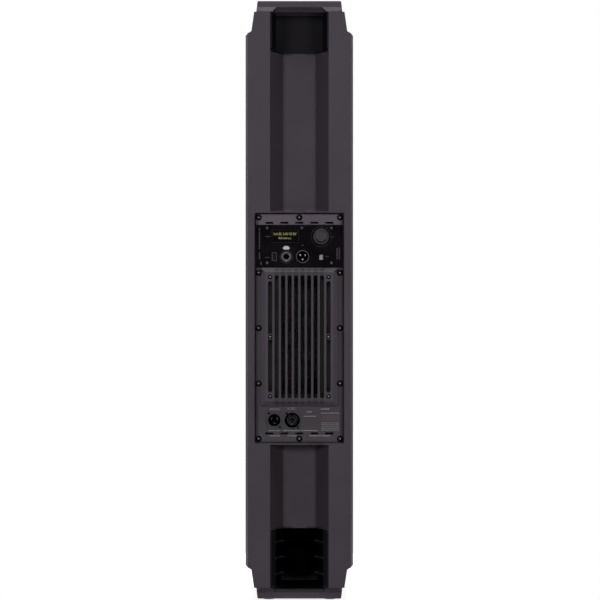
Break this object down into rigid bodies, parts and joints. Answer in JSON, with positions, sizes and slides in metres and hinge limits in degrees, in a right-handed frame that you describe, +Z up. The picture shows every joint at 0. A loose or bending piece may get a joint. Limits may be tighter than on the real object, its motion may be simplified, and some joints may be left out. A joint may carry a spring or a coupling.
{
  "type": "column line array loudspeaker",
  "caption": "Tall powered column loudspeaker with a rear channel, finned amplifier panel, carrying handle pocket, rear port and a front grille over woofers and a waveguide.",
  "frame": {"origin": "on the floor under the middle of the cabinet, at the bottom centre of the bounding box", "axes": "+Z up along the column, -Y out of the grille towards the audience, +Y out of the amplifier panel, +X to the left as seen from behind"},
  "size_m": [0.19, 0.275, 1.055],
  "materials": {
    "moulded_shell": "dark warm grey, lightly textured",
    "black_moulding": "black, lightly textured",
    "black_rubber": "matt black",
    "grille_steel": "black powder coat",
    "panel_metal": "grey powder coat",
    "cast_cover": "dark grey coat on a casting",
    "gloss_fascia": "polished black",
    "display_glass": "dark lens",
    "bare_steel": "satin",
    "basket_steel": "black coat",
    "cone_paper": "coated black pulp",
    "spider_cloth": "impregnated cloth",
    "magnet_ferrite": "ferrite and plated steel",
    "knob_grey": "soft touch grey",
    "plastic_black": "satin black",
    "pale_grey": "satin pale grey",
    "circuit_board": "solder mask",
    "galvanised_steel": "zinc plated",
    "foam_seal": "closed cell foam"
  },
  "bodies": {
    "cabinet": {"cabinet_shell": "moulded_shell", "top_cap": "moulded_shell", "bottom_cap": "moulded_shell", "handle_cup": "black_moulding", "port_duct": "black_moulding", "front_baffle": "black_moulding", "hf_waveguide": "black_moulding", "front_grille": "grille_steel", "rubber_foot_1": "black_rubber", "rubber_foot_2": "black_rubber", "rubber_foot_3": "black_rubber", "rubber_foot_4": "black_rubber", "pole_socket": "basket_steel", "fly_point_rear": "bare_steel", "fly_point_front": "bare_steel", "woofer_1_basket": "basket_steel", "woofer_2_basket": "basket_steel", "woofer_3_basket": "basket_steel", "woofer_4_basket": "basket_steel", "woofer_1_magnet": "magnet_ferrite", "woofer_2_magnet": "magnet_ferrite", "woofer_3_magnet": "magnet_ferrite", "woofer_4_magnet": "magnet_ferrite", "woofer_1_surround": "black_rubber", "woofer_2_surround": "black_rubber", "woofer_3_surround": "black_rubber", "woofer_4_surround": "black_rubber", "woofer_1_spider": "spider_cloth", "woofer_2_spider": "spider_cloth", "woofer_3_spider": "spider_cloth", "woofer_4_spider": "spider_cloth", "hf_driver_lower": "magnet_ferrite", "hf_driver_upper": "magnet_ferrite", "amp_panel": "panel_metal", "vent_cover": "cast_cover", "control_fascia": "gloss_fascia", "panel_gasket": "foam_seal", "display_lens": "display_glass", "display_module": "plastic_black", "encoder_body": "plastic_black", "combo_input": "plastic_black", "link_output": "plastic_black", "service_port": "bare_steel", "lift_switch": "plastic_black", "mains_inlet": "plastic_black", "mains_outlet": "plastic_black", "amp_back_box": "galvanised_steel", "control_board": "circuit_board", "power_board": "circuit_board", "power_transformer": "magnet_ferrite", "heat_spreader": "basket_steel"},
    "shaft": {"encoder_shaft": "bare_steel"},
    "knob": {"control_knob": "knob_grey"},
    "latch": {"combo_latch": "pale_grey"},
    "slider": {"lift_slider": "pale_grey"},
    "cone_1": {"woofer_1_cone": "cone_paper"},
    "cone_2": {"woofer_2_cone": "cone_paper"},
    "cone_3": {"woofer_3_cone": "cone_paper"},
    "cone_4": {"woofer_4_cone": "cone_paper"}
  },
  "joints": [
    {"name": "knob_push", "type": "slide", "parent": "cabinet", "child": "shaft", "axis": [0, -1, 0], "range_m": [0, 0.001], "stiffness_N_per_m": 2000, "springref_m": -0.0005},
    {"name": "knob_turn", "type": "hinge", "parent": "shaft", "child": "knob", "pos_m": [-0.0385, 0.132, 0.6395], "axis": [0, 1, 0], "continuous": true},
    {"name": "latch_push", "type": "slide", "parent": "cabinet", "child": "latch", "axis": [0, -1, 0], "range_m": [0, 0.0018], "stiffness_N_per_m": 1000, "springref_m": -0.0005},
    {"name": "lift_slide", "type": "slide", "parent": "cabinet", "child": "slider", "axis": [0, 0, 1], "range_m": [0, 0.0026]},
    {"name": "cone_1_stroke", "type": "slide", "parent": "cabinet", "child": "cone_1", "axis": [0, -1, 0], "range_m": [-0.005, 0.005], "stiffness_N_per_m": 1500, "deforming": ["woofer_1_surround", "woofer_1_spider"]},
    {"name": "cone_2_stroke", "type": "slide", "parent": "cabinet", "child": "cone_2", "axis": [0, -1, 0], "range_m": [-0.005, 0.005], "stiffness_N_per_m": 1500, "deforming": ["woofer_2_surround", "woofer_2_spider"]},
    {"name": "cone_3_stroke", "type": "slide", "parent": "cabinet", "child": "cone_3", "axis": [0, -1, 0], "range_m": [-0.005, 0.005], "stiffness_N_per_m": 1500, "deforming": ["woofer_3_surround", "woofer_3_spider"]},
    {"name": "cone_4_stroke", "type": "slide", "parent": "cabinet", "child": "cone_4", "axis": [0, -1, 0], "range_m": [-0.005, 0.005], "stiffness_N_per_m": 1500, "deforming": ["woofer_4_surround", "woofer_4_spider"]}
  ]
}
